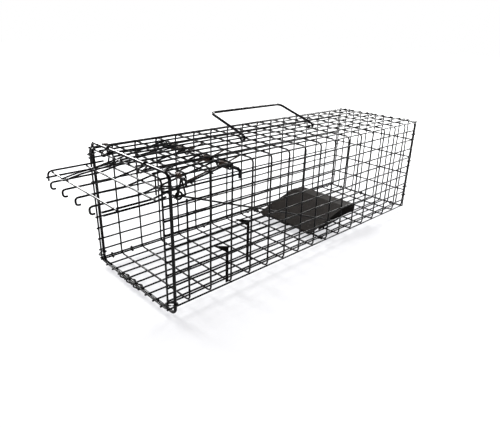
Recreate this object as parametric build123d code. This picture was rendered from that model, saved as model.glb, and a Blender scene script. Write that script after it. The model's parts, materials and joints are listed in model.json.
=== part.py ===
"""Wire-mesh live catch trap: cage, drop door, treadle trigger, latch and carrying handle.

Lengths are millimetres. The model is laid out in the cage's own frame, with x along the cage
(door end at -x), y across it and z up from the floor mesh, and is moved as a whole at the end
so that it stands on z = 0 with its box centred over the origin.
"""
import math
import os

from build123d import *

# Mesh cage, one inch by half inch welded mesh, sixteen cells long
cells_long = 16
cells_round = 10
pitch_x = 25.4
cage_width = 129.9
cage_height = 126.2
mesh_r = 0.9
mesh_bend = 5.0
first_cell_short = 1.8
cut_loop = 1
cut_above = 1.5

# Heavy front frame
frame_r = 1.5
frame_x = -196.5
frame_bend = 6.0

# Rings and clips
ring_r = 0.8

# Door, as set: hooked bars that slope down to the front from a rod under the roof
hinge_x = -122.0
hinge_z = 118.6
hinge_r = 1.6
door_r = 0.9
door_play = 0.4
door_slope = 10.7
door_front_slope = 0.5
door_long = 84.5
door_front_long = 43.0
hook_bend = 2.4
hook_drop = 1.6
hook_foot = 1.5
bar_y = (-38.1, -12.7, 12.7, 38.1)
inner_rail_y = 54.2
outer_rail_y = 60.5
near_rail_start = -196.0
far_rail_start = -189.6
far_rail_drop = 9.0
far_rail_bend = 4.0
low_cross_x = (-143.0, -166.0)
high_cross_x = (-207.0, -240.0)
pin_x = -189.0
pin_end_y = 61.2

# Door springs and the long bail, all on the hinge rod
spring_r = 0.8
spring_turns = 5
spring_pitch = 1.64
spring_gap = 1.68
spring_bend = hinge_r + 0.5 + spring_r
bail_y = 30.0
bail_half = 2.8
bail_ahead = 1.5
bow_x = -228.0
bow_z = 111.3
bow_bend = 30.0

# Latch: a shaft across the roof with a hanging arm and toe at each side
latch_x = -181.0
latch_z = 121.0
latch_r = 1.1
arm_r = 0.85
arm_y = 60.9
arm_front_x = -185.0
arm_rear_x = -177.0
toe_x = -188.6
latch_gap = 0.35

# Trigger rod
rod_r = 0.9
rod_y = -58.8
rod_front_x = -182.5
rod_eye = 3.2
rod_pin_r = 0.9

# Treadle, a bent sheet plate hinged at its front edge
treadle_x = 20.0
treadle_z = 4.2
treadle_half = 45.2
treadle_t = 0.8
treadle_bend_x = 85.2
treadle_bend_z = 24.7
treadle_rear_x = 108.3
treadle_rear_z = 22.4
knuckle_gap = 0.4
link_x = 59.5
link_z = 12.5
link_hole_r = 1.35

# Handle
handle_r = 1.5
handle_half = 57.5
handle_reach = 58.0
handle_lean = 16.0
handle_bend = 6.0
handle_eye = 3.0
handle_curl = 260.0

# The whole part is moved by this much when it is written
stand_x = 22.0
stand_z = 5.5

half_w = cage_width / 2
long_y = [-half_w + cage_width * j / cells_round for j in range(1, cells_round)]
long_z = [cage_height * j / cells_round for j in range(1, cells_round)]
loop_x = [pitch_x * (k - cells_long / 2) for k in range(cells_long + 1)]
loop_x[0] += first_cell_short
front_end = -pitch_x * cells_long / 2
rear_end = loop_x[-1] + mesh_r
inner_y = half_w - 2 * mesh_r
floor_z = 2 * mesh_r
roof_z = cage_height - 2 * mesh_r
bend_y = inner_y - mesh_bend
bend_low = floor_z + mesh_bend
bend_high = roof_z - mesh_bend
corner_reach = (mesh_bend + 2 * mesh_r) * math.sqrt(0.5)
corner_y = bend_y + corner_reach
corner_low = bend_low - corner_reach
corner_high = bend_high + corner_reach


def rod(start, end, radius):
    """Straight round wire between two points."""
    start, end = Vector(*start), Vector(*end)
    return Solid.make_cylinder(radius, (end - start).length, Plane(start, z_dir=end - start))


def arc(centre, outward, axis, bend, radius, turn=360.0):
    """Bent wire: a torus segment that starts at the outward direction and turns about the axis."""
    plane = Plane(Vector(*centre), x_dir=Vector(*outward), z_dir=Vector(*axis))
    return Solid.make_torus(bend, radius, plane, major_angle=turn)


def bent_wire(points, radius, bend, closed=False):
    """Wire through the points with a round bend at each corner, as its runs and bends."""
    points = [Vector(*p) for p in points]
    count = len(points)
    corners = range(count) if closed else range(1, count - 1)
    leave = {i: points[i] for i in range(count)}
    arrive = dict(leave)
    pieces = []
    for i in corners:
        back = (points[i - 1] - points[i]).normalized()
        on = (points[(i + 1) % count] - points[i]).normalized()
        inside = back.get_angle(on)
        trim = bend / math.tan(math.radians(inside / 2))
        arrive[i] = points[i] + back * trim
        leave[i] = points[i] + on * trim
        centre = points[i] + (back + on).normalized() * (bend / math.sin(math.radians(inside / 2)))
        axis = (arrive[i] - centre).cross(leave[i] - centre)
        pieces.append(arc(centre, arrive[i] - centre, axis, bend, radius, 180 - inside))
    for i in range(count if closed else count - 1):
        pieces.append(rod(leave[i], arrive[(i + 1) % count], radius))
    return pieces


def joined(pieces):
    """One solid out of wire pieces that meet end to end."""
    whole = pieces[0].fuse(*pieces[1:])
    solids = whole.solids()
    return solids[0] if len(solids) == 1 else Compound(solids)


def tie_ring(one, other, axis, grip):
    """Closed ring of clip wire drawn round two parallel wires, one grip out from each centre."""
    one, other, axis = Vector(*one), Vector(*other), Vector(*axis)
    along = (other - one).normalized()
    side = axis.cross(along)
    return joined([
        arc(one, side, axis, grip, ring_r, 180),
        arc(other, side * -1, axis, grip, ring_r, 180),
        rod(one + side * grip, other + side * grip, ring_r),
        rod(one - side * grip, other - side * grip, ring_r),
    ])


def panel_wires(cross, along):
    """Crossing straight wires, each a pair of end points."""
    return [rod(a, b, mesh_r) for a, b in (*cross, *along)]


# Cage


def roof_mesh():
    cross = [((x, -bend_y, roof_z), (x, bend_y, roof_z)) for x in loop_x]
    along = [((front_end, y, cage_height), (rear_end, y, cage_height)) for y in long_y]
    return panel_wires(cross, along)


def floor_mesh():
    cross = [((x, -bend_y, floor_z), (x, bend_y, floor_z)) for x in loop_x]
    along = [((front_end, y, 0), (rear_end, y, 0)) for y in long_y]
    return panel_wires(cross, along)


def side_mesh(side):
    """One side's wires. On the near side one upright is cut short, to let the rod's ring through."""
    y = side * inner_y
    tops = [bend_high] * len(loop_x)
    if side < 0:
        tops[cut_loop] = long_z[7] + cut_above
    cross = [((x, y, bend_low), (x, y, top)) for x, top in zip(loop_x, tops)]
    along = [((front_end, side * half_w, z), (rear_end, side * half_w, z)) for z in long_z]
    return panel_wires(cross, along)


def corner_mesh():
    """The round corner bends of every loop wire, and the wire that runs along each corner."""
    pieces = []
    for side in (-1, 1):
        for level, z, corner_z in ((-1, bend_low, corner_low), (1, bend_high, corner_high)):
            for x in loop_x:
                centre = (x, side * bend_y, z)
                pieces.append(arc(centre, (0, side, 0), (side * level, 0, 0), mesh_bend, mesh_r, 90))
            corner = side * corner_y
            pieces.append(rod((front_end, corner, corner_z), (rear_end, corner, corner_z), mesh_r))
    return pieces


def seam_point():
    """The second edge wire of the rolled sheet, beside the far bottom corner wire."""
    reach = mesh_bend + 2 * mesh_r
    turn = math.pi / 4 - 2 * math.asin(mesh_r / reach) - 0.02
    return bend_y + reach * math.cos(turn), bend_low - reach * math.sin(turn)


def seam_wire():
    y, z = seam_point()
    return [rod((front_end, y, z), (rear_end, y, z), mesh_r)]


def seam_rings():
    y, z = seam_point()
    grip = mesh_r + ring_r
    spots = [loop_x[k] + pitch_x / 2 for k in (0, 1, 5, 8, 12, 15)]
    return [tie_ring((x, corner_y, corner_low), (x, y, z), (1, 0, 0), grip) for x in spots]


panel_x = loop_x[-1] + 2 * mesh_r
panel_rows = 6


def rear_panel():
    low, high = floor_z, roof_z
    rows = [low + (high - low) * i / (panel_rows - 1) for i in range(panel_rows)]
    across = [((panel_x, -corner_y - 1, z), (panel_x, corner_y + 1, z)) for z in rows]
    upright_x = panel_x + 2 * mesh_r
    uprights = [((upright_x, y, low - 1), (upright_x, y, high + 1)) for y in (-corner_y, *long_y, corner_y)]
    return panel_wires(across, uprights)


def rear_rings():
    """Clips that close the rear panel against the last loop of the cage."""
    grip = mesh_r + ring_r
    upright_x = panel_x + 2 * mesh_r
    rings = []
    for side, rows in ((-1, (1.5, 2.5, 5.5, 8.5)), (1, (1.5, 5.5, 8.5))):
        for row in rows:
            z = cage_height * row / cells_round
            edge = (upright_x, side * corner_y, z)
            rings.append(tie_ring((loop_x[-1], side * inner_y, z), edge, (0, 0, 1), grip))
    for z, columns in ((floor_z, (1.5, 5.5, 8.5)), (roof_z, (1.5, 5.5, 8.5))):
        for column in columns:
            y = -half_w + cage_width * column / cells_round
            rings.append(tie_ring((loop_x[-1], y, z), (panel_x, y, z), (0, 1, 0), grip))
    return rings


frame_off = mesh_r + frame_r
frame_y = half_w + frame_off


def front_frame():
    low, high = -frame_off, cage_height + frame_off
    outline = [(frame_x, -frame_y, low), (frame_x, frame_y, low), (frame_x, frame_y, high), (frame_x, -frame_y, high)]
    return [joined(bent_wire(outline, frame_r, frame_bend, closed=True))]


def front_rings():
    """Clips that tie the heavy frame to the first loop of the cage."""
    grip = frame_r + ring_r
    rings = []
    for side in (-1, 1):
        for z in (8.0, 117.6):
            rings.append(tie_ring((frame_x, side * frame_y, z), (loop_x[0], side * inner_y, z), (0, 0, 1), grip))
    for z, loop_z, columns in (
        (-frame_off, floor_z, (4.5, 5.5, 6.5)),
        (cage_height + frame_off, roof_z, (2.5, 7.5)),
    ):
        for column in columns:
            y = -half_w + cage_width * column / cells_round
            rings.append(tie_ring((frame_x, y, z), (loop_x[0], y, loop_z), (0, 1, 0), grip))
    return rings


def front_stays():
    """Short thin wires that hang from the first roof wire in front of the door's rails."""
    x = loop_x[0] - mesh_r - 0.7
    return [rod((x, side * 57.0, cage_height), (x, side * 57.0, 109.5), 0.7) for side in (-1, 1)]


def side_strips():
    """Two narrow steel strips inside the near wall, each with a pointed flag at its top."""
    outer_y = -inner_y + mesh_r
    strips = []
    for x, low, high in ((-131.5, 3.0, 42.0), (-104.5, 17.6, 62.0)):
        outline = [(x - 1.5, low), (x + 1.5, low), (x + 1.5, high), (x - 18.5, high + 7), (x - 1.5, high - 5)]
        face = make_face(Polyline(*[(px, outer_y, pz) for px, pz in outline], close=True))
        strips.append(extrude(face, amount=0.8, dir=(0, 1, 0)).solids()[0])
    return strips


def rod_with_bent_ends(x, z, radius, half_length, drop):
    """Rod across the cage whose ends turn down outside the side mesh."""
    points = [(x, -half_length, z - drop), (x, -half_length, z), (x, half_length, z), (x, half_length, z - drop)]
    return joined(bent_wire(points, radius, 1.6 * radius))


def hinge_rod():
    return [rod_with_bent_ends(hinge_x, hinge_z, hinge_r, half_w + mesh_r + hinge_r + 0.4, 8.0)]


def treadle_hinge_wire():
    return [rod((treadle_x, -inner_y + mesh_r + 0.3, treadle_z), (treadle_x, inner_y - mesh_r - 0.3, treadle_z), mesh_r)]


def treadle_hinge_rings():
    loop = loop_x[cells_long // 2 + 1]
    grip = mesh_r + ring_r
    return [
        tie_ring((treadle_x, side * 56.5, treadle_z), (loop, side * 56.5, floor_z), (0, 1, 0), grip)
        for side in (-1, 1)
    ]


def latch_coils():
    """Turns of soft wire wound on the roof's corner wires beside the latch shaft."""
    grip = mesh_r + ring_r
    return [
        arc((x, side * corner_y, corner_high), (0, 0, 1), (1, 0, 0), grip, ring_r)
        for side in (-1, 1)
        for x in (-187.0, -185.2, -183.4)
    ]


# Door


def turned(forward, up):
    """A step forward and up in the plane of the door's side view."""
    return Vector(-forward, 0, up)


slope = math.radians(door_slope)
front_slope = math.radians(door_front_slope)
run = turned(math.cos(slope), -math.sin(slope))
run_up = turned(math.sin(slope), math.cos(slope))
front_run = turned(math.cos(front_slope), -math.sin(front_slope))
front_up = turned(math.sin(front_slope), math.cos(front_slope))
eye_bend = hinge_r + door_play + door_r
door_start = Vector(hinge_x, 0, hinge_z) + run_up * eye_bend
door_knee = door_start + run * door_long
door_end = door_knee + front_run * door_front_long


def door_height(x):
    """Height of the door wires' centre line at one place along the cage."""
    if x > door_knee.X:
        return door_start.Z - (door_start.X - x) * math.tan(slope)
    return door_knee.Z - (door_knee.X - x) * math.tan(front_slope)


def hinge_eye(y):
    return arc((hinge_x, y, hinge_z), run_up, (0, 1, 0), eye_bend, door_r, 300)


def at_y(point, y):
    return Vector(point.X, y, point.Z)


def hooked_bar(y):
    """Bar with an eye round the hinge rod, a slight knee and a curled hook at its free end."""
    pieces = [hinge_eye(y)]
    pieces += bent_wire([at_y(p, y) for p in (door_start, door_knee, door_end)], door_r, 20.0)
    top = at_y(door_end - front_up * hook_bend, y)
    low = top - front_up * hook_drop
    toe = low - front_up * hook_bend
    pieces.append(arc(top, front_up, (0, -1, 0), hook_bend, door_r, 90))
    pieces.append(rod(top + front_run * hook_bend, low + front_run * hook_bend, door_r))
    pieces.append(arc(low, front_run, (0, -1, 0), hook_bend, door_r, 90))
    pieces.append(rod(toe, toe - front_run * hook_foot, door_r))
    return joined(pieces)


def hooked_bars():
    return [hooked_bar(y) for y in bar_y]


def inner_rails():
    rails = []
    for side in (-1, 1):
        y = side * inner_rail_y
        pieces = [hinge_eye(y)]
        pieces += bent_wire([at_y(p, y) for p in (door_start, door_knee, door_end)], door_r, 20.0)
        rails.append(joined(pieces))
    return rails


def outer_rails():
    """The near one lies level with the bars, the far one on the cross wires with its front end turned down."""
    start = Vector(near_rail_start, -outer_rail_y, door_height(near_rail_start))
    near = [start, at_y(door_knee, -outer_rail_y), at_y(door_end + front_run * 2, -outer_rail_y)]
    far_front = high_cross_x[1] - far_rail_bend - 0.5
    far = [Vector(x, outer_rail_y, rail_height(x)) for x in (far_rail_start, far_front)]
    far.append(far[-1] - Vector(0, 0, far_rail_drop))
    return [joined(bent_wire(near, door_r, 20.0)), joined(bent_wire(far, door_r, far_rail_bend))]


def front_height(x):
    """Height of the door's front part, carried on in line to either side."""
    return door_knee.Z - (door_knee.X - x) * math.tan(front_slope)


def cross_height(x):
    """Height of a cross wire that lies on the door's bars."""
    return front_height(x) + 2 * door_r / math.cos(front_slope)


def rail_height(x):
    """Height of a rail that lies on those cross wires."""
    return front_height(x) + 4 * door_r / math.cos(front_slope)


def cross_wires():
    """Wires welded across the door: under its sloping part, and on top of its front part."""
    wires = []
    for x in low_cross_x:
        z = door_height(x) - 2 * door_r / math.cos(slope)
        wires.append(rod((x, -inner_rail_y - door_r, z), (x, inner_rail_y + door_r, z), door_r))
    for x in high_cross_x:
        z = cross_height(x)
        wires.append(rod((x, -outer_rail_y - 0.6, z), (x, outer_rail_y + 0.6, z), door_r))
    return wires


pin_z = door_height(pin_x) - 2 * door_r / math.cos(slope)


def latch_pin_wire():
    """The cross wire whose ends stand out past the rails and rest on the latch toes."""
    return [rod((pin_x, -pin_end_y, pin_z), (pin_x, pin_end_y, pin_z), door_r)]


def spring_bail():
    """Long bail of spring wire that bears on the front cross wire, its legs bowed back to the hinge rod."""
    tip = Vector(high_cross_x[1], 0, cross_height(high_cross_x[1]) + door_r + spring_r + 0.05)
    root = Vector(hinge_x, 0, hinge_z) + run_up * spring_bend
    bow = Vector(bow_x, 0, bow_z)
    ahead = tip + (tip - bow).normalized() * bail_ahead
    side = [root, bow, ahead]
    points = [at_y(p, bail_y - bail_half) for p in side] + [at_y(p, bail_y + bail_half) for p in side[::-1]]
    pieces = []
    for leg in (points[:3], points[3:]):
        pieces += bent_wire(leg, spring_r, bow_bend)
    pieces.append(bail_tip(points[2], points[3], tip - bow))
    return [joined(pieces)]


def bail_tip(one, other, heading):
    """Half turn that joins the two legs of the bail."""
    middle = (one + other) * 0.5
    axis = (one - middle).cross(heading)
    return arc(middle, one - middle, axis, bail_half, spring_r, 180)


def spring_coil(places):
    """Turns of spring wire round the hinge rod."""
    return [arc((hinge_x, y, hinge_z), (0, 0, 1), (0, 1, 0), spring_bend, spring_r) for y in places]


def roof_leg(y):
    """Leg from under the hinge rod to the underside of the roof."""
    low = Vector(hinge_x, y, hinge_z - spring_bend)
    return rod(low, (loop_x[4] + 5, y, roof_z - mesh_r - spring_r - 0.2), spring_r)


def door_spring(y, legs):
    """Torsion spring: turns round the hinge rod, a leg on the door and a leg under the roof."""
    door_leg = Vector(hinge_x, y - spring_gap, hinge_z) + run_up * spring_bend
    return [
        *spring_coil([y + i * spring_pitch for i in range(spring_turns)]),
        rod(door_leg, door_leg + run * legs, spring_r),
        roof_leg(y + spring_turns * spring_gap),
    ]


def bail_coils():
    """Turns beside the bail's two legs, with one leg under the roof."""
    inner = [bail_y - bail_half - spring_pitch * i for i in (1, 2, 3, 4)]
    outer = [bail_y + bail_half + spring_pitch * i for i in (1, 2)]
    return [*spring_coil(inner + outer), roof_leg(inner[-1] - spring_gap)]


# Latch and trigger


def latch_shaft():
    return [rod_with_bent_ends(latch_x, latch_z, latch_r, half_w + mesh_r + latch_r + 0.5, 7.0)]


toe_z = pin_z - door_r - arm_r - latch_gap


def latch_arm(side, with_pin):
    """Narrow triangle of wire that hangs from the shaft, with a toe under the door's pin."""
    y = side * arm_y
    top = (latch_x, y, latch_z)
    pieces = [
        rod(top, (arm_front_x, y, toe_z), arm_r),
        rod(top, (arm_rear_x, y, toe_z), arm_r),
        rod((toe_x, y, toe_z), (arm_rear_x - 0.4, y, toe_z), arm_r),
    ]
    if with_pin:
        pieces.append(rod((rod_front_x, y, toe_z), (rod_front_x, rod_y + 1.3, toe_z), rod_pin_r))
    arm = joined(pieces)
    shaft = rod((latch_x, y - 3, latch_z), (latch_x, y + 3, latch_z), latch_r)
    return [arm.cut(shaft).solids().sort_by(SortBy.VOLUME)[-1]]


def trigger_rod():
    """Long rod: a ring on the latch's pin at the front, a bent end in the treadle's flange."""
    front = Vector(rod_front_x, rod_y, toe_z)
    rear = Vector(link_x, -treadle_half - 2.3, link_z)
    start = front + (rear - front).normalized() * rod_eye
    inner_end = Vector(link_x, -treadle_half + 3.2, link_z)
    pieces = bent_wire([start, rear, inner_end], rod_r, 1.2)
    pieces.append(arc(front, (rear - front), (0, 1, 0), rod_eye, rod_r))
    return [joined(pieces)]


def treadle_plate():
    """Bent plate with a flange down each side and knuckles round its hinge wire."""
    ramp = Vector(treadle_bend_x - treadle_x, 0, treadle_bend_z - treadle_z).normalized()
    ramp_up = Vector(-ramp.Z, 0, ramp.X)
    outer = mesh_r + knuckle_gap + treadle_t
    hinge = Vector(treadle_x, 0, treadle_z)
    start = hinge + ramp_up * outer
    bend = Vector(treadle_bend_x, 0, treadle_bend_z)
    rear = Vector(treadle_rear_x, 0, treadle_rear_z)
    lip = (rear - bend).normalized()
    lip_up = Vector(-lip.Z, 0, lip.X)
    low_bend = bend - (ramp_up + lip_up).normalized() * treadle_t
    outline = [start, bend, rear, rear - lip_up * treadle_t, low_bend, start - ramp_up * treadle_t]
    plate = slab(outline, -treadle_half, treadle_half)
    first = start + ramp * 14
    flange = [first, bend, rear, Vector(treadle_rear_x, 0, 12.8), Vector(85.0, 0, 12.4), Vector(72.0, 0, 9.0)]
    flange.append(Vector(first.X + 1, 0, 5.6))
    pieces = [slab(flange, side - treadle_t / 2, side + treadle_t / 2)
              for side in (-treadle_half + treadle_t / 2, treadle_half - treadle_t / 2)]
    bore_r = mesh_r + knuckle_gap
    for y in (-40.0, -6.0, 28.0):
        tube = rod((treadle_x, y, treadle_z), (treadle_x, y + 12, treadle_z), outer)
        pieces.append(tube)
    whole = plate.fuse(*pieces)
    whole = whole.cut(
        rod((treadle_x, -60, treadle_z), (treadle_x, 60, treadle_z), bore_r),
        rod((link_x, -60, link_z), (link_x, -30, link_z), link_hole_r),
    )
    return [whole.solids().sort_by(SortBy.VOLUME)[-1]]


def slab(outline, low_y, high_y):
    """Flat outline in the side view, made solid between two places across the cage."""
    face = make_face(Polyline(*[(p.X, low_y, p.Z) for p in outline], close=True))
    return extrude(face, amount=high_y - low_y, dir=(0, 1, 0)).solids()[0]


def link_washer():
    """Small keeper on the rod hole's inner side."""
    y = -treadle_half + treadle_t
    ring = rod((link_x, y, link_z), (link_x, y + 0.6, link_z), 2.6)
    return [ring.cut(rod((link_x, y - 1, link_z), (link_x, y + 2, link_z), link_hole_r)).solids()[0]]


# Handle


def handle():
    """Carrying bail whose ends curl into eyes round the middle wire of the roof."""
    lean = math.radians(handle_lean)
    out = Vector(0, math.cos(lean), math.sin(lean))
    over = Vector(0, -math.sin(lean), math.cos(lean))
    pivot = Vector(0, long_y[cells_round // 2 - 1], cage_height)
    ends = [pivot + Vector(side * handle_half, 0, 0) for side in (-1, 1)]
    feet = [end + over * handle_eye for end in ends]
    points = [feet[0], feet[0] + out * handle_reach, feet[1] + out * handle_reach, feet[1]]
    pieces = bent_wire(points, handle_r, handle_bend)
    pieces += [arc(end, over, (1, 0, 0), handle_eye, handle_r, handle_curl) for end in ends]
    return [joined(pieces)]


nodes = {
    "roof_mesh": roof_mesh(),
    "floor_mesh": floor_mesh(),
    "near_side_mesh": side_mesh(-1),
    "far_side_mesh": side_mesh(1),
    "mesh_corner_bends": corner_mesh(),
    "seam_wire": seam_wire(),
    "seam_hog_rings": seam_rings(),
    "rear_panel": rear_panel(),
    "rear_hog_rings": rear_rings(),
    "front_frame": front_frame(),
    "front_hog_rings": front_rings(),
    "front_stay_wires": front_stays(),
    "near_wall_strips": side_strips(),
    "door_hinge_rod": hinge_rod(),
    "treadle_hinge_wire": treadle_hinge_wire(),
    "treadle_hinge_rings": treadle_hinge_rings(),
    "latch_bearing_coils": latch_coils(),
    "near_door_spring": door_spring(-49.3, 46.0),
    "middle_door_spring": door_spring(-25.0, 42.0),
    "bail_spring_coils": bail_coils(),
    "door_hooked_bars": hooked_bars(),
    "door_inner_rails": inner_rails(),
    "door_outer_rails": outer_rails(),
    "door_cross_wires": cross_wires(),
    "door_latch_pin_wire": latch_pin_wire(),
    "door_spring_bail": spring_bail(),
    "latch_shaft": latch_shaft(),
    "near_latch_arm": latch_arm(-1, True),
    "far_latch_arm": latch_arm(1, False),
    "trigger_rod": trigger_rod(),
    "treadle_plate": treadle_plate(),
    "treadle_link_washer": link_washer(),
    "carrying_handle": handle(),
}

os.makedirs("parts", exist_ok=True)
standing = Location((stand_x, 0, stand_z))
everything = []
for name, solids in nodes.items():
    placed = Compound([solid.moved(standing) for solid in solids])
    everything.append(placed)
    export_step(placed, f"parts/{name}.step")
box = Compound(everything).bounding_box()
print("box", box.min, box.max)
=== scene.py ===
import json
import math

import bpy
import numpy as np
from mathutils import Matrix, Vector


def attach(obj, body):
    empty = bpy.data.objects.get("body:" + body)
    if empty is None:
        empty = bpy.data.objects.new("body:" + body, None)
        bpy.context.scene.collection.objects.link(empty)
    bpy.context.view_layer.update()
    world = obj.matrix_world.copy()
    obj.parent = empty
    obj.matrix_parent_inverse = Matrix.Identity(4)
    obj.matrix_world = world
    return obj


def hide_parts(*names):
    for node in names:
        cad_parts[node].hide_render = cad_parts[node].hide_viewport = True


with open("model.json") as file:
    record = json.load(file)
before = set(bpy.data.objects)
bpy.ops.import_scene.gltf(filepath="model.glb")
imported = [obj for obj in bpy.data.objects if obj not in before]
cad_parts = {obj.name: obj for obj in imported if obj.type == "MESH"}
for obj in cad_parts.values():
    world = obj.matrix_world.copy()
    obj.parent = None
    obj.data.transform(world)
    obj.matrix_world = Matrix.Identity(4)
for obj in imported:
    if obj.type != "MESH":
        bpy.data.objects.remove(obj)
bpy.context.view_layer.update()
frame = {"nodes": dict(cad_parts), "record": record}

mm = 0.001
tau = 2 * math.pi
alongX, alongY, alongZ = (1, 0, 0), (0, 1, 0), (0, 0, 1)
print("frame loaded,", len(frame["nodes"]), "nodes")


# View

view = dict(
    place=(-0.3615, -0.3550, 0.2409),  # metres, in the frame of the part
    heading=44.228,                    # degrees from +Y towards +X
    down=22.974,
    roll=1.807,
    lens=32.32,
    shift=(-0.0059, 0.0108),
    nearest=0.01,
)


def cameraAxes(heading, down, roll):
    # forward from heading and dip, level right and up, then both turned by the roll
    heading, down, roll = (math.radians(angle) for angle in (heading, down, roll))
    level = math.cos(down)
    forward = Vector((math.sin(heading) * level, math.cos(heading) * level, -math.sin(down)))
    sideways = forward.cross(Vector(alongZ)).normalized()
    upright = sideways.cross(forward)
    right = sideways * math.cos(roll) + upright * math.sin(roll)
    up = upright * math.cos(roll) - sideways * math.sin(roll)
    return right, up, forward


def makeCamera():
    data = bpy.data.cameras.new("viewCamera")
    data.lens = view["lens"]
    data.sensor_width = 36
    data.shift_x, data.shift_y = view["shift"]
    data.clip_start = view["nearest"]
    camera = bpy.data.objects.new("viewCamera", data)
    bpy.context.scene.collection.objects.link(camera)
    right, up, forward = cameraAxes(view["heading"], view["down"], view["roll"])
    turn = Matrix((right, up, -forward)).transposed().to_4x4()
    camera.matrix_world = Matrix.Translation(view["place"]) @ turn
    bpy.context.scene.camera = camera


makeCamera()
print("camera placed")


# Shader maths

class Value:
    # a socket whose + - * add Math nodes

    def __init__(self, nodes, socket):
        self.nodes = nodes
        self.socket = socket

    def join(self, operation, one, other):
        return self.nodes.add("Math", {"operation": operation}, [one, other])

    def __add__(self, other):
        return self.join("ADD", self, other)

    def __radd__(self, other):
        return self.join("ADD", other, self)

    def __sub__(self, other):
        return self.join("SUBTRACT", self, other)

    def __rsub__(self, other):
        return self.join("SUBTRACT", other, self)

    def __mul__(self, other):
        return self.join("MULTIPLY", self, other)

    def __rmul__(self, other):
        return self.join("MULTIPLY", other, self)


class Nodes:
    # a node tree: add() makes a node with its settings and sockets, plug() sets or links one socket

    def __init__(self, tree):
        self.tree = tree

    def add(self, kind, settings, sockets, out=0):
        node = self.tree.nodes.new("ShaderNode" + kind)
        for key, setting in settings.items():
            setattr(node, key, setting)
        pairs = enumerate(sockets) if isinstance(sockets, list) else sockets.items()
        for key, source in pairs:
            self.plug(node.inputs[key], source)
        return Value(self, node.outputs[out])

    def plug(self, socket, source):
        if isinstance(source, Value):
            self.tree.links.new(source.socket, socket)
        else:
            socket.default_value = source


class Finish(Nodes):
    # one material: its Principled shader, with the numbers that are the same all over

    def __init__(self, name, **fixed):
        self.material = bpy.data.materials.new(name)
        self.material.use_nodes = True
        super().__init__(self.material.node_tree)
        self.shader = self.tree.nodes["Principled BSDF"]
        self.feed(**fixed)
        self.place = self.add("TexCoord", {}, {}, "Object")

    def feed(self, **links):
        for socket, source in links.items():
            self.plug(self.shader.inputs[socket.replace("_", " ")], source)
        return self.material

    def noise(self, scale, detail, rough, stretch=None):
        where = self.place
        if stretch:
            where = self.add("Mapping", {}, {"Vector": where, "Scale": stretch})
        sockets = {"Vector": where, "Scale": scale, "Detail": detail, "Roughness": rough}
        return self.add("TexNoise", {}, sockets, "Fac")

    def step(self, source, low, high):
        # 0 below low, 1 above high, smooth between
        settings = {"interpolation_type": "SMOOTHSTEP"}
        return self.add("MapRange", settings, {"Value": source, "From Min": low, "From Max": high})

    def mix(self, factor, one, other):
        # two colours: the colour sockets of a Mix node are 6 and 7, and its colour comes out at 2
        return self.add("Mix", {"data_type": "RGBA"}, {0: factor, 6: one, 7: other}, 2)

    def bump(self, height, depth):
        return self.add("Bump", {}, {"Height": height, "Distance": depth, "Strength": 1.0}, "Normal")


def rgb(*shade):
    return (*shade, 1.0)


# Finishes. A noise is scale, detail and roughness; an edge is where a patch begins and where it is full

wireLook = dict(
    dark=(0.0015, 0.0015, 0.0018), dusty=(0.007, 0.0063, 0.0058), bare=(0.26, 0.25, 0.24),
    dust=(60.0, 4.0, 0.6), dustEdge=(0.42, 0.74),
    chips=(420.0, 2.0, 0.6), chipsEdge=(0.73, 0.77),
    peel=(900.0, 2.0, 0.4), ripple=(260.0, 3.0, 0.5),
    depth=0.06 * mm, coatRough=0.10,
)


def makeCoatedWire(name, level, polish):
    # black stove enamel: dark, mixed with dust in patches, then with bare zinc in chips; it is rougher with
    # dust, peel and chips, and its height is peel and ripple less the chips
    look = wireLook
    finish = Finish(name, Specular_IOR_Level=level, Coat_Roughness=look["coatRough"])
    dust = finish.step(finish.noise(*look["dust"]), *look["dustEdge"])
    chips = finish.step(finish.noise(*look["chips"]), *look["chipsEdge"])
    colour = finish.mix(dust, rgb(*look["dark"]), rgb(*look["dusty"]))
    colour = finish.mix(chips, colour, rgb(*look["bare"]))
    peel = finish.noise(*look["peel"])
    rough = polish + dust * 0.20 + peel * 0.08 + chips * 0.1
    height = peel * 0.7 - chips * 0.6 + finish.noise(*look["ripple"]) * 0.6
    return finish.feed(Base_Color=colour, Roughness=rough, Metallic=chips * 0.8,
                       Coat_Weight=0.04 - dust * 0.035, Normal=finish.bump(height, look["depth"]))


frameLook = dict(
    dark=wireLook["dark"], dusty=wireLook["dusty"], bare=(0.20, 0.19, 0.18),
    dust=(35.0, 5.0, 0.62), dustEdge=(0.45, 0.75),
    rub=(150.0, 4.0, 0.65), rubEdge=(0.66, 0.73),
    peel=(620.0, 2.0, 0.4), polish=0.17,
    depth=0.08 * mm, level=0.11, coatRough=0.08,
)


def makeFrameWire():
    # the same enamel on thicker wire, with rubbed patches in place of chips: dark, mixed with dust, then partly
    # with bare metal; it is rougher with dust and peel, and its height is peel less the rubbing
    look = frameLook
    finish = Finish("frameWire", Specular_IOR_Level=look["level"], Coat_Roughness=look["coatRough"])
    dust = finish.step(finish.noise(*look["dust"]), *look["dustEdge"])
    rub = finish.step(finish.noise(*look["rub"]), *look["rubEdge"])
    colour = finish.mix(dust, rgb(*look["dark"]), rgb(*look["dusty"]))
    colour = finish.mix(rub * 0.4, colour, rgb(*look["bare"]))
    peel = finish.noise(*look["peel"])
    rough = look["polish"] + dust * 0.20 + peel * 0.08
    return finish.feed(Base_Color=colour, Roughness=rough, Metallic=rub * 0.6,
                       Coat_Weight=0.05 - dust * 0.045, Normal=finish.bump(peel - rub * 0.5, look["depth"]))


clipLook = dict(
    dark=(0.003, 0.003, 0.003), grey=(0.016, 0.015, 0.014),
    blotch=(500.0, 4.0, 0.6), grain=(1400.0, 2.0, 0.5), polish=0.34, depth=0.04 * mm, level=0.12,
)


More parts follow.
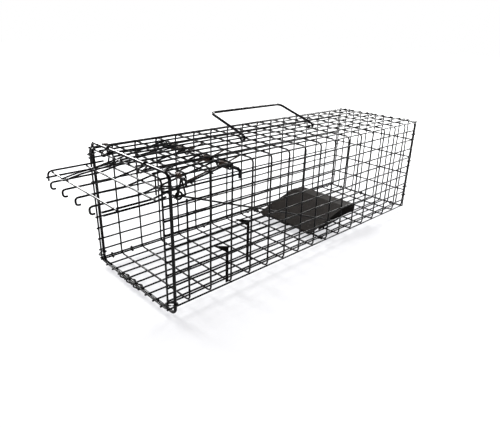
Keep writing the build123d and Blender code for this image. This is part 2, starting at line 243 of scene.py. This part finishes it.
def makeClipWire():
    # dark zinc: dark to grey by one noise, which makes it rougher and more metallic too
    look = clipLook
    finish = Finish("clipWire", Specular_IOR_Level=look["level"])
    blotch = finish.noise(*look["blotch"])
    colour = finish.mix(blotch, rgb(*look["dark"]), rgb(*look["grey"]))
    return finish.feed(Base_Color=colour, Roughness=look["polish"] + blotch * 0.3, Metallic=blotch * 0.12,
                       Normal=finish.bump(finish.noise(*look["grain"]), look["depth"]))


springLook = dict(
    dark=(0.010, 0.006, 0.004), straw=(0.055, 0.030, 0.019),
    tint=(240.0, 4.0, 0.6), tintEdge=(0.3, 0.7), grain=(1500.0, 2.0, 0.5), polish=0.26, depth=0.03 * mm, level=0.2,
)


def makeSpringWire():
    # oil-browned steel: dark brown to straw by one noise, which makes it rougher and more metallic too
    look = springLook
    finish = Finish("springWire", Specular_IOR_Level=look["level"])
    tint = finish.noise(*look["tint"])
    colour = finish.mix(finish.step(tint, *look["tintEdge"]), rgb(*look["dark"]), rgb(*look["straw"]))
    return finish.feed(Base_Color=colour, Roughness=look["polish"] + tint * 0.25, Metallic=0.1 + tint * 0.3,
                       Normal=finish.bump(finish.noise(*look["grain"]), look["depth"]))


sheetLook = dict(
    dark=(0.0020, 0.0017, 0.0015), brownAndSheen=(0.0105, 0.0082, 0.0069),
    scuffed=(0.021, 0.017, 0.0145), scratched=(0.045, 0.041, 0.038),
    grain=(220.0, 3.0, 0.6), grainAndSheenStretch=(0.15, 1.0, 1.0),
    scuff=(70.0, 6.0, 0.7), scuffEdge=(0.55, 0.72),
    scratch=(900.0, 2.0, 0.5), scratchStretch=(0.05, 1.0, 1.0), scratchEdge=(0.64, 0.70),
    dents=(45.0, 2.0, 0.5), polish=0.58, depth=0.06 * mm, level=0.03,
)


def makeTreadleSheet():
    # rolled sheet with thin dark paint: dark to brown by a noise drawn out along X, whose lighter streaks are partly
    # grain and partly a painted sheen, then partly scuffed and scratched; it is rougher with grain and scuffs, and
    # its height is grain and dents less the scratches
    look = sheetLook
    finish = Finish("treadleSheet", Specular_IOR_Level=look["level"])
    grain = finish.noise(*look["grain"], stretch=look["grainAndSheenStretch"])
    scuff = finish.step(finish.noise(*look["scuff"]), *look["scuffEdge"])
    scratch = finish.step(finish.noise(*look["scratch"], stretch=look["scratchStretch"]), *look["scratchEdge"])
    # the lighter brown streaks along X are partly the sheet's grain and partly a painted sheen
    colour = finish.mix(grain, rgb(*look["dark"]), rgb(*look["brownAndSheen"]))
    colour = finish.mix(scuff * 0.6, colour, rgb(*look["scuffed"]))
    colour = finish.mix(scratch * 0.4, colour, rgb(*look["scratched"]))
    rough = look["polish"] + grain * 0.12 + scuff * 0.14 - scratch * 0.10
    height = grain * 0.5 - scratch + finish.noise(*look["dents"]) * 3.0
    return finish.feed(Base_Color=colour, Roughness=rough, Metallic=scratch * 0.3,
                       Normal=finish.bump(height, look["depth"]))


finishes = {
    "black_mesh_wire": makeCoatedWire("meshEnamel", 0.08, 0.27),
    "door_wire": makeCoatedWire("doorEnamel", 0.11, 0.18),
    "black_frame_wire": makeFrameWire(),
    "clip_wire": makeClipWire(),
    "spring_wire": makeSpringWire(),
    "treadle_sheet": makeTreadleSheet(),
}
for part in frame["record"]["subparts"]:
    for held in frame["nodes"][part["node"]].material_slots:
        held.material = finishes[part["material_slot"]]
# the trigger rod is duller than the door
frame["nodes"]["trigger_rod"].material_slots[0].material = makeCoatedWire("rodEnamel", 0.06, 0.32)
print("finishes made")


# Wires

stand = np.array([22.0, 0.0, 5.5])         # mm from the cage's own axes to the frame of the part
bendRound = 8                              # steps round a quarter bend
hair = 0.1                                 # mm within which a point counts as on a line
wireEnd = dict(beyond=0.32, narrow=0.72)   # a cut end: how far past the path and how thick, in radii
weld = dict(
    swell=0.13, spread=1.1,                # how much thicker the wire gets, and over how many mm
    step=1.3,                              # mm; the next two are in such steps
    beside=(-1.6, -0.8, 0, 0.8, 1.6), clear=2,  # where stations stand beside it, and how far off even ones stay
)


class Wirework:
    # one piece: wires are added as arrays, then put into a mesh together

    def __init__(self, name):
        self.name = name
        self.corners, self.faces = [], []
        self.count = 0

    def addGrid(self, rings, closed):
        # rings: (along, round, 3) in mm; neighbours along and round are joined by quads, open ends by one face
        along, around = rings.shape[:2]
        index = np.arange(along * around).reshape(along, around) + self.count
        nextRound = np.roll(index, -1, axis=1)
        quads = np.stack([nextRound, np.roll(nextRound, -1, axis=0), np.roll(index, -1, axis=0), index], axis=-1)
        if not closed:
            quads = quads[:-1]
        self.faces += quads.reshape(-1, 4).tolist()
        if not closed:
            self.faces += [index[0][::-1].tolist(), index[-1].tolist()]
        self.corners.append(rings.reshape(-1, 3))
        self.count += along * around

    def addWire(self, path, radius, beside, sides, closed=False):
        # a circle of that radius carried along the path; beside is a direction never along the wire
        path = np.asarray(path, float)
        radius = np.broadcast_to(np.asarray(radius, float), (len(path),))
        if closed:
            heading = np.roll(path, -1, axis=0) - np.roll(path, 1, axis=0)
        else:
            heading = np.gradient(path, axis=0)
            past = radius[[0, -1]] * wireEnd["beyond"]
            ends = unit(heading[[0, -1]])
            path = np.vstack([path[:1] - ends[:1] * past[0], path, path[-1:] + ends[1:] * past[1]])
            radius = np.concatenate([radius[:1] * wireEnd["narrow"], radius, radius[-1:] * wireEnd["narrow"]])
            heading = np.vstack([ends[:1], heading, ends[1:]])
        heading = unit(heading)
        side = unit(np.cross(heading, np.asarray(beside, float)))
        other = np.cross(heading, side)
        turn = tau * np.arange(sides) / sides
        circle = side[:, None] * np.cos(turn)[None, :, None] + other[:, None] * np.sin(turn)[None, :, None]
        self.addGrid(path[:, None] + circle * radius[:, None, None], closed)

    def finishMesh(self, body, slot, *nodes):
        corners = (np.vstack(self.corners) + stand) * mm
        mesh = bpy.data.meshes.new(self.name)
        mesh.from_pydata(corners.tolist(), [], self.faces)
        mesh.polygons.foreach_set("use_smooth", np.ones(len(mesh.polygons), bool))
        mesh.materials.append(finishes[slot])
        mesh.update()
        piece = bpy.data.objects.new(self.name, mesh)
        bpy.context.scene.collection.objects.link(piece)
        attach(piece, body)
        if nodes:
            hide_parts(*nodes)
        print(self.name, "made,", len(mesh.polygons), "faces")


def unit(vectors):
    # each vector over its length
    return vectors / np.linalg.norm(vectors, axis=-1, keepdims=True)


def arcPath(centre, first, second, bend, start, stop, steps):
    # points of a circle: centre + bend (first cos t + second sin t), t from start to stop in degrees
    t = np.radians(np.linspace(start, stop, steps + 1))[:, None]
    first, second = np.asarray(first, float), np.asarray(second, float)
    return np.asarray(centre, float) + bend * (first * np.cos(t) + second * np.sin(t))


def straightPath(one, other, places):
    # points at those distances in mm from one towards other
    one, other = np.asarray(one, float), np.asarray(other, float)
    return one + unit(other - one) * np.asarray(places, float)[:, None]


def stations(length, welds, spacing):
    # even steps with closer ones beside every weld
    near = (np.asarray(welds)[:, None] + weld["step"] * np.array(weld["beside"])).ravel()
    even = np.linspace(0, length, max(2, int(length / spacing)) + 1)
    gap = np.abs(even[:, None] - np.asarray(welds)[None]).min(axis=1)
    even = even[gap > weld["step"] * weld["clear"]]
    return np.unique(np.round(np.clip(np.concatenate([even, near, [0, length]]), 0, length), 3))


def swollen(places, welds):
    # the mesh wire's radius (1 + swell times a bell curve at every weld)
    gap = (np.asarray(places)[:, None] - np.asarray(welds)[None]) / weld["spread"]
    return cage["wire"] * (1 + weld["swell"] * np.exp(-gap**2).sum(axis=1).clip(0, 1))


def sway(places, size, length, rng):
    # two slow sines with their own random phases, the second smaller and shorter
    one, two = rng.uniform(0, tau, 2)
    small, short = cage["secondSway"]
    return size * (np.sin(tau * places / length + one) + small * np.sin(tau * places / (short * length) + two))


cage = dict(
    cells=16, rows=10, pitch=25.4, width=129.9, height=126.2, wire=0.9, bend=5.0,
    firstShort=1.8,                                        # mm that the cell at the entrance is shorter
    loopSpacing=6.5, longSpacing=8.5, loopSides=8, longSides=7,
    tilt=0.22, endTilt=0.35, secondTilt=(0.6, 3),          # a loop's wander in X, and the end loops' share of it
    sway=0.16, swayLength=110.0, secondSway=(0.5, 0.41), cornerSway=0.3,
    seamSway=0.2, seamGap=0.02,                            # the gap is radians round the bend
    trim=0.7, trimFront=0.2, trimRear=0.12,                # mm off the front ends, and how much each end varies
    cutLoop=1, cutRow=7, cutAbove=1.5,                     # the loop cut on the near side, above that long wire
)
loopX = cage["pitch"] * (np.arange(cage["cells"] + 1) - cage["cells"] / 2)
loopX[0] += cage["firstShort"]
frontEnd, rearEnd = -cage["pitch"] * cage["cells"] / 2, loopX[-1] + cage["wire"]
halfWidth = cage["width"] / 2
innerY = halfWidth - 2 * cage["wire"]
floorZ, roofZ = 2 * cage["wire"], cage["height"] - 2 * cage["wire"]
bendY, bendLow, bendHigh = innerY - cage["bend"], floorZ + cage["bend"], roofZ - cage["bend"]
outerBend = cage["bend"] + 2 * cage["wire"]
cornerReach = outerBend * math.sqrt(0.5)
cornerY, cornerLow, cornerHigh = bendY + cornerReach, bendLow - cornerReach, bendHigh + cornerReach


def columnY(column):
    # long wires of the roof and floor counted from the near side, and halves for between them
    return -halfWidth + cage["width"] * column / cage["rows"]


def rowZ(row):
    # the same for the sides, counted from the floor
    return cage["height"] * row / cage["rows"]


longY, longZ = columnY(np.arange(1, cage["rows"])), rowZ(np.arange(1, cage["rows"]))


def hoopPath(halfY, low, high, bend, weldY, weldZ, spacing):
    # a rounded rectangle across the cage, from the middle of its floor round by +Y: straight runs with stations
    # at the welds, and quarter circles between them
    straightY, straightZ = halfY - bend, high - low - 2 * bend
    floorHalf = stations(straightY, weldY[weldY > 0], spacing)
    across = stations(2 * straightY, weldY + straightY, spacing)
    upright = stations(straightZ, weldZ - low - bend, spacing)
    turn = np.linspace(0, 90, bendRound + 1)[1:-1]

    def corner(y, z, first, second):
        return arcPath((0, y, z), first, second, bend, turn[0], turn[-1], len(turn) - 1)

    up, out = (0, 0, 1), (0, 1, 0)
    down, back = (0, 0, -1), (0, -1, 0)
    return np.vstack([
        straightPath((0, 0, low), (0, 1, low), floorHalf),
        corner(straightY, low + bend, down, out),
        straightPath((0, halfY, low + bend), (0, halfY, high), upright),
        corner(straightY, high - bend, out, up),
        straightPath((0, straightY, high), (0, -1, high), across),
        corner(-straightY, high - bend, up, back),
        straightPath((0, -halfY, high - bend), (0, -halfY, low), upright),
        corner(-straightY, low + bend, back, down),
        straightPath((0, -straightY, low), (0, 0, low), straightY - floorHalf[::-1])[:-1],
    ])


def weldsNear(path):
    # a bell curve of the distance to the nearest long wire, 1 at its weld
    onFlat = np.abs(path[:, 1]) <= bendY + hair
    gapY = np.abs(path[:, 1][:, None] - longY[None]).min(axis=1)
    gapZ = np.abs(path[:, 2][:, None] - longZ[None]).min(axis=1)
    return np.exp(-(np.where(onFlat, gapY, gapZ) / weld["spread"]) ** 2)


def makeMeshLoops(rng):
    # each loop is the rounded rectangle at its own x, leaning in X by a sine of the angle round the cage and a
    # smaller one three times as quick
    work = Wirework("meshLoops")
    base = hoopPath(innerY, floorZ, roofZ, cage["bend"], longY, longZ, cage["loopSpacing"])
    radius = cage["wire"] * (1 + weld["swell"] * weldsNear(base))
    around = np.arctan2(base[:, 2] - cage["height"] / 2, base[:, 1])
    above = base[:, 2] > longZ[cage["cutRow"]] + cage["cutAbove"]
    cut = (base[:, 1] < -innerY + hair) & above & (base[:, 2] < bendHigh - hair)
    afterCut = np.flatnonzero(cut)[-1] + 1
    whole = np.roll(np.arange(len(base)), -afterCut)[:np.count_nonzero(~cut)]
    for k, x in enumerate(loopX):
        path = base.copy()
        small, times = cage["secondTilt"]
        slow, quick = np.sin(around + rng.uniform(0, tau)), np.sin(times * around + rng.uniform(0, tau))
        wander = cage["tilt"] * (slow + small * quick)
        path[:, 0] = x + wander * (cage["endTilt"] if k in (0, cage["cells"]) else 1)
        if k == cage["cutLoop"]:
            # cut, to let the rod's ring through
            work.addWire(path[whole], radius[whole], alongX, cage["loopSides"])
        else:
            work.addWire(path, radius, alongX, cage["loopSides"], closed=True)
    work.finishMesh("cage", "black_mesh_wire", "roof_mesh", "floor_mesh", "mesh_corner_bends")


def longWire(work, y, z, swayY, swayZ, rng):
    # a straight line along X with a slow sway across it, its two ends trimmed a little unevenly
    length, welds = rearEnd - frontEnd, loopX - frontEnd
    places = stations(length, welds, cage["longSpacing"])
    path = straightPath((frontEnd, y, z), (rearEnd, y, z), places)
    path[:, 1] += swayY * sway(places, cage["sway"], cage["swayLength"], rng)
    path[:, 2] += swayZ * sway(places, cage["sway"], cage["swayLength"], rng)
    front, back = cage["trimFront"], cage["trimRear"]
    path[[0, -1], 0] += [cage["trim"] + rng.uniform(-front, front), rng.uniform(-back, back)]
    work.addWire(path, swollen(places, welds), alongZ, cage["longSides"])


def makeLongWires(rng):
    # roof and floor, then the sides, then the four corners, which sway both ways
    work = Wirework("meshLongWires")
    for y in longY:
        longWire(work, y, 0.0, 1, 0, rng)
        longWire(work, y, cage["height"], 1, 0, rng)
    for z in longZ:
        longWire(work, -halfWidth, z, 0, 1, rng)
        longWire(work, halfWidth, z, 0, 1, rng)
    for side in (-1, 1):
        longWire(work, side * cornerY, cornerLow, cage["cornerSway"], cage["cornerSway"], rng)
        longWire(work, side * cornerY, cornerHigh, cage["cornerSway"], cage["cornerSway"], rng)
    work.finishMesh("cage", "black_mesh_wire", "near_side_mesh", "far_side_mesh")


# the seam wire lies against the far lower corner wire, above it round the bend
seamTurn = math.pi / 4 - 2 * math.asin(cage["wire"] / outerBend) - cage["seamGap"]
seamY, seamZ = bendY + outerBend * math.cos(seamTurn), bendLow - outerBend * math.sin(seamTurn)


def makeSeamWire(rng):
    # one more long wire
    work = Wirework("seamWire")
    longWire(work, seamY, seamZ, cage["seamSway"], cage["seamSway"], rng)
    work.finishMesh("cage", "black_mesh_wire", "seam_wire")


rear = dict(
    rows=6, overhang=1.0, sides=8,
    rowSway=(0.12, 90.0), columnSway=(0.14, 100.0),   # size and length in mm
)
panelX = loopX[-1] + 2 * cage["wire"]
uprightX = panelX + 2 * cage["wire"]


def makeRearPanel(rng):
    # straight rows in Y and straight columns in Z behind them, each with a slow sway across it
    work = Wirework("rearPanelWires")
    rows = np.linspace(floorZ, roofZ, rear["rows"])
    columns = np.concatenate([[-cornerY], longY, [cornerY]])
    reach = cornerY + rear["overhang"]
    for z in rows:
        welds = columns + reach
        places = stations(2 * reach, welds, cage["loopSpacing"])
        path = straightPath((panelX, -reach, z), (panelX, reach, z), places)
        path[:, 2] += sway(places, *rear["rowSway"], rng)
        work.addWire(path, swollen(places, welds), alongZ, rear["sides"])
    low, high = floorZ - rear["overhang"], roofZ + rear["overhang"]
    for y in columns:
        welds = rows - low
        places = stations(high - low, welds, cage["longSpacing"])
        path = straightPath((uprightX, y, low), (uprightX, y, high), places)
        path[:, 1] += sway(places, *rear["columnSway"], rng)
        work.addWire(path, swollen(places, welds), alongX, rear["sides"])
    work.finishMesh("cage", "black_mesh_wire", "rear_panel")


hoop = dict(
    wire=1.5, x=-196.5, bend=6.0, spacing=3.0, sides=18,
    bow=0.25,                       # mm that its middle height stands back
    buttWeld=0.12, weldSpread=1.6,  # how much thicker its closing weld is, and over how many mm
)
hoopOff = cage["wire"] + hoop["wire"]
hoopY = halfWidth + hoopOff


def makeFrontHoop():
    # the rounded rectangle in heavy wire, bowed by half a sine of its height, and thicker by a bell curve where
    # its ends are butt welded in the middle of the floor side
    work = Wirework("frontHoop")
    noWelds = np.array([1e4])  # far off the wire
    path = hoopPath(hoopY, -hoopOff, cage["height"] + hoopOff, hoop["bend"], noWelds, noWelds, hoop["spacing"])
    path[:, 0] = hoop["x"] + hoop["bow"] * np.sin(np.pi * path[:, 2] / cage["height"])
    closing = np.exp(-(path[:, 1] / hoop["weldSpread"]) ** 2) * (path[:, 2] < 0)
    work.addWire(path, hoop["wire"] * (1 + hoop["buttWeld"] * closing), alongX, hoop["sides"], closed=True)
    work.finishMesh("cage", "black_frame_wire", "front_frame")


# Hog rings

clip = dict(
    wire=0.8, sides=8, turnSteps=12,
    gap=0.9, stray=0.12,        # mm between its two points, and how far off the middle they may meet
    tuck=0.18, point=0.62,      # how far in its points lie, and how thick they are
)
rings = dict(
    seamCells=(0, 1, 5, 8, 12, 15),
    rearRows={-1: (1.5, 2.5, 5.5, 8.5), 1: (1.5, 5.5, 8.5)}, rearColumns=(1.5, 5.5, 8.5),
    postZ=(8.0, 117.6), hoopFloor=(4.5, 5.5, 6.5), hoopRoof=(2.5, 7.5),
    hinge=(20.0, 56.5, 4.2), hingeLoop=9,   # the treadle's hinge wire, and the loop that it is tied to
)


def addHogRing(work, one, other, axis, grip, rng):
    # a loop drawn round two wires: half circle, straight side, half circle, and the last side left to two cut points
    one, other, axis = (np.asarray(v, float) for v in (one, other, axis))
    apart = np.linalg.norm(other - one)
    along = (other - one) / apart
    side = np.cross(axis, along)
    meet = one + side * grip + along * ((0.5 + clip["stray"] * rng.uniform(-1, 1)) * apart)
    path = np.vstack([
        (meet - along * clip["gap"] * 0.5)[None],
        arcPath(one, side, -along, grip, 0, 180, clip["turnSteps"]),
        (0.5 * (one + other) - side * grip)[None],
        arcPath(other, -side, along, grip, 0, 180, clip["turnSteps"]),
        (meet + along * clip["gap"] * 0.5)[None],
    ])
    path[[0, -1]] -= side * clip["tuck"]
    radius = np.full(len(path), clip["wire"])
    radius[[0, -1]] *= clip["point"]
    work.addWire(path, radius, axis, clip["sides"])


def makeRings(name, node, wire, pairs, rng):
    # one ring for each pair: the middles of its two wires, and the way that the wires run
    work = Wirework(name)
    for one, other, axis in pairs:
        addHogRing(work, one, other, axis, wire + clip["wire"], rng)
    work.finishMesh("cage", "clip_wire", node)


def makeAllRings(rng):
    # along the seam, round the rear panel's edge, round the front hoop, and on the treadle's hinge wire
    between = loopX[list(rings["seamCells"])] + cage["pitch"] / 2
    makeRings("seamHogRings", "seam_hog_rings", cage["wire"], [
        ((x, cornerY, cornerLow), (x, seamY, seamZ), alongX) for x in between
    ], rng)
    makeRings("rearHogRings", "rear_hog_rings", cage["wire"], [
        ((loopX[-1], side * innerY, rowZ(row)), (uprightX, side * cornerY, rowZ(row)), alongZ)
        for side, rows in rings["rearRows"].items() for row in rows
    ] + [
        ((loopX[-1], columnY(column), z), (panelX, columnY(column), z), alongY)
        for z in (floorZ, roofZ) for column in rings["rearColumns"]
    ], rng)
    hoopLevels = ((-hoopOff, floorZ, rings["hoopFloor"]), (cage["height"] + hoopOff, roofZ, rings["hoopRoof"]))
    makeRings("frontHogRings", "front_hog_rings", hoop["wire"], [
        ((hoop["x"], side * hoopY, z), (loopX[0], side * innerY, z), alongZ)
        for side in (-1, 1) for z in rings["postZ"]
    ] + [
        ((hoop["x"], columnY(column), z), (loopX[0], columnY(column), loopZ), alongY)
        for z, loopZ, columns in hoopLevels for column in columns
    ], rng)
    x, y, z = rings["hinge"]
    makeRings("treadleHingeRings", "treadle_hinge_rings", cage["wire"], [
        ((x, side * y, z), (loopX[rings["hingeLoop"]], side * y, floorZ), alongY) for side in (-1, 1)
    ], rng)


# Springs

springs = dict(
    x=-122.0, z=118.6, rod=1.6, play=0.5, wire=0.8, sides=10, turnStep=15,
    wound=-75.0, roofTurn=180.0,       # where a coil begins, past the leg's root with the door down, and ends
    turnPitch=1.68, doorTurns=5,
    roofLoop=4, roofPast=5, roofClear=0.2, roofSteps=9,
    slope=10.7, legFrom=0.6, legLift=0.35, legSteps=12,
)
bail = dict(y=30.0, half=2.8, pitch=1.64, innerTurns=4, outerStop=225.0)
springBend = springs["rod"] + springs["play"] + springs["wire"]
runTurn = math.radians(springs["slope"])
run = np.array([-math.cos(runTurn), 0, -math.sin(runTurn)])
runUp = np.array([-math.sin(runTurn), 0, math.cos(runTurn)])


def coilPath(firstY, lastY, turns, stop):
    # a helix round the hinge rod: the angle about +Y goes from where it is wound from, by that many turns, to stop
    start = springs["wound"]
    total = 360 * turns + stop - start
    t = np.radians(np.linspace(start, start + total, int(total / springs["turnStep"]) + 1))
    share = np.linspace(0, 1, len(t))
    x = springs["x"] + springBend * np.sin(t)
    z = springs["z"] + springBend * np.cos(t)
    return np.stack([x, firstY + (lastY - firstY) * share, z], axis=1)


def addRoofSpring(work, firstY, lastY, turns):
    # a helix, then a straight leg from its end to just under the roof
    coil = coilPath(firstY, lastY, turns, springs["roofTurn"])
    endZ = roofZ - cage["wire"] - springs["wire"] - springs["roofClear"]
    end = np.array([loopX[springs["roofLoop"]] + springs["roofPast"], lastY, endZ])
    leg = straightPath(coil[-1], end, np.linspace(0, np.linalg.norm(end - coil[-1]), springs["roofSteps"]))[1:]
    work.addWire(np.vstack([coil, leg]), springs["wire"], alongY, springs["sides"])


def makeDoorSpring(name, y, legLength, node):
    # coil and roof leg stay on the cage; the other leg, a straight line lifted by half a sine, goes with the door
    work = Wirework(name + "Coil")
    addRoofSpring(work, y - springs["turnPitch"], y + springs["doorTurns"] * springs["turnPitch"],
                  springs["doorTurns"])
    work.finishMesh("cage", "spring_wire", node)
    work = Wirework(name + "Leg")
    root = np.array([springs["x"], y - springs["turnPitch"], springs["z"]]) + runUp * springBend
    places = np.linspace(springs["legFrom"], legLength, springs["legSteps"])
    lift = springs["legLift"] * np.sin(np.pi * places / legLength)
    work.addWire(root + run * places[:, None] + runUp * lift[:, None], springs["wire"], alongY, springs["sides"])
    work.finishMesh("door", "spring_wire")


def makeBailCoils():
    # a helix with a roof leg on one side of the bail, and a short helix on the other
    work = Wirework("bailSpringCoils")
    pitch = bail["pitch"]
    inner = bail["y"] - bail["half"] - pitch
    addRoofSpring(work, inner, inner - (bail["innerTurns"] - 1) * pitch - springs["turnPitch"], bail["innerTurns"])
    outer = bail["y"] + bail["half"] + pitch
    work.addWire(coilPath(outer, outer + pitch, 1, bail["outerStop"]), springs["wire"], alongY, springs["sides"])
    work.finishMesh("cage", "spring_wire", "bail_spring_coils")


latchCoil = dict(firstX=-187.4, lastX=-183.0, turns=3, turnSteps=24)


def makeLatchCoils():
    # three rough turns of soft wire round each roof corner wire: a helix along X, its ends left standing
    work = Wirework("latchBearingCoils")
    grip = cage["wire"] + clip["wire"]
    steps = latchCoil["turns"] * latchCoil["turnSteps"] + 1
    for side in (-1, 1):
        t = np.radians(np.linspace(0, 360 * latchCoil["turns"], steps))
        x = np.linspace(latchCoil["firstX"], latchCoil["lastX"], steps)
        path = np.stack([x, side * (cornerY + grip * np.sin(t)), cornerHigh + grip * np.cos(t)], axis=1)
        work.addWire(path, clip["wire"], alongX, clip["sides"])
    work.finishMesh("cage", "spring_wire", "latch_bearing_coils")


rng = np.random.default_rng(11)
makeMeshLoops(rng)
makeLongWires(rng)
makeSeamWire(rng)
makeRearPanel(rng)
makeFrontHoop()
makeAllRings(rng)
makeDoorSpring("nearDoorSpring", -49.3, 46.0, "near_door_spring")
makeDoorSpring("middleDoorSpring", -25.0, 42.0, "middle_door_spring")
makeBailCoils()
makeLatchCoils()


# Light and floor

studio = dict(
    besides=0.14,                                      # world brightness for everything but the camera
    glow=(0.67, 0.67, 0.69), farGlow=(1.0, 1.0, 1.0),  # holds the floor pale, more so away from the lamps
    glowEdge=(0.32, 0.95),
    paper=0.16, toothPaper=1.1, tooth=(300.0, 3.0, 0.5),  # how much lamp light the floor sends back, and its tooth
    floorReach=6.0,
)
lamps = dict(
    keyLamp=dict(place=(-0.20, 1.03, 0.74), aim=(-0.18, 0, 0.13), size=(0.40, 0.40), power=46.0),
    topLamp=dict(place=(0.0, -0.15, 1.3), aim=(0, 0, 0.05), size=(0.6, 0.6), power=4.0),
    rearLamp=dict(place=(1.02, 0.21, 0.74), aim=(0.14, -0.04, 0.08), size=(0.35, 0.55), power=50.0),
)


def areaLight(name, place, aim, size, power):
    data = bpy.data.lights.new(name, "AREA")
    data.shape = "RECTANGLE"
    data.size, data.size_y = size
    data.energy = power
    light = bpy.data.objects.new(name, data)
    light.location = place
    light.rotation_euler = (Vector(aim) - Vector(place)).to_track_quat("-Z", "Y").to_euler()
    bpy.context.scene.collection.objects.link(light)


def makeWorld():
    # white behind the object, dimmer for everything that the camera doesn't see straight
    world = bpy.data.worlds.new("studioWhite")
    world.use_nodes = True
    nodes = Nodes(world.node_tree)
    seen = nodes.add("LightPath", {}, {}, "Is Camera Ray")
    soft = nodes.add("Background", {}, {"Color": rgb(1, 1, 1), "Strength": studio["besides"]})
    white = nodes.add("Background", {}, {"Color": rgb(1, 1, 1)})
    both = nodes.add("MixShader", {}, [seen, soft, white])
    nodes.plug(world.node_tree.nodes["World Output"].inputs["Surface"], both)
    bpy.context.scene.world = world


def makeFloor():
    # one flat square: pale paper with a fine tooth, its glow rising from the middle outwards
    reach = studio["floorReach"]
    mesh = bpy.data.meshes.new("floorSheet")
    corners = [(-reach, -reach, 0), (reach, -reach, 0), (reach, reach, 0), (-reach, reach, 0)]
    mesh.from_pydata(corners, [], [(0, 1, 2, 3)])
    floor = bpy.data.objects.new("floorSheet", mesh)
    bpy.context.scene.collection.objects.link(floor)
    finish = Finish("floorPaper", Roughness=0.9, Specular_IOR_Level=0.1, Emission_Strength=1.0)
    away = finish.add("VectorMath", {"operation": "LENGTH"}, {0: finish.place}, "Value")
    far = finish.step(away, *studio["glowEdge"])
    glow = finish.mix(far, rgb(*studio["glow"]), rgb(*studio["farGlow"]))
    low, high = studio["paper"], studio["paper"] * studio["toothPaper"]
    shade = finish.mix(finish.noise(*studio["tooth"]), rgb(low, low, low), rgb(high, high, high))
    mesh.materials.append(finish.feed(Base_Color=shade, Emission_Color=glow))


makeWorld()
makeFloor()
for name, lamp in lamps.items():
    areaLight(name, **lamp)
bpy.context.scene.view_settings.view_transform = "Standard"
bpy.context.scene.view_settings.look = "None"
print("light and floor made")
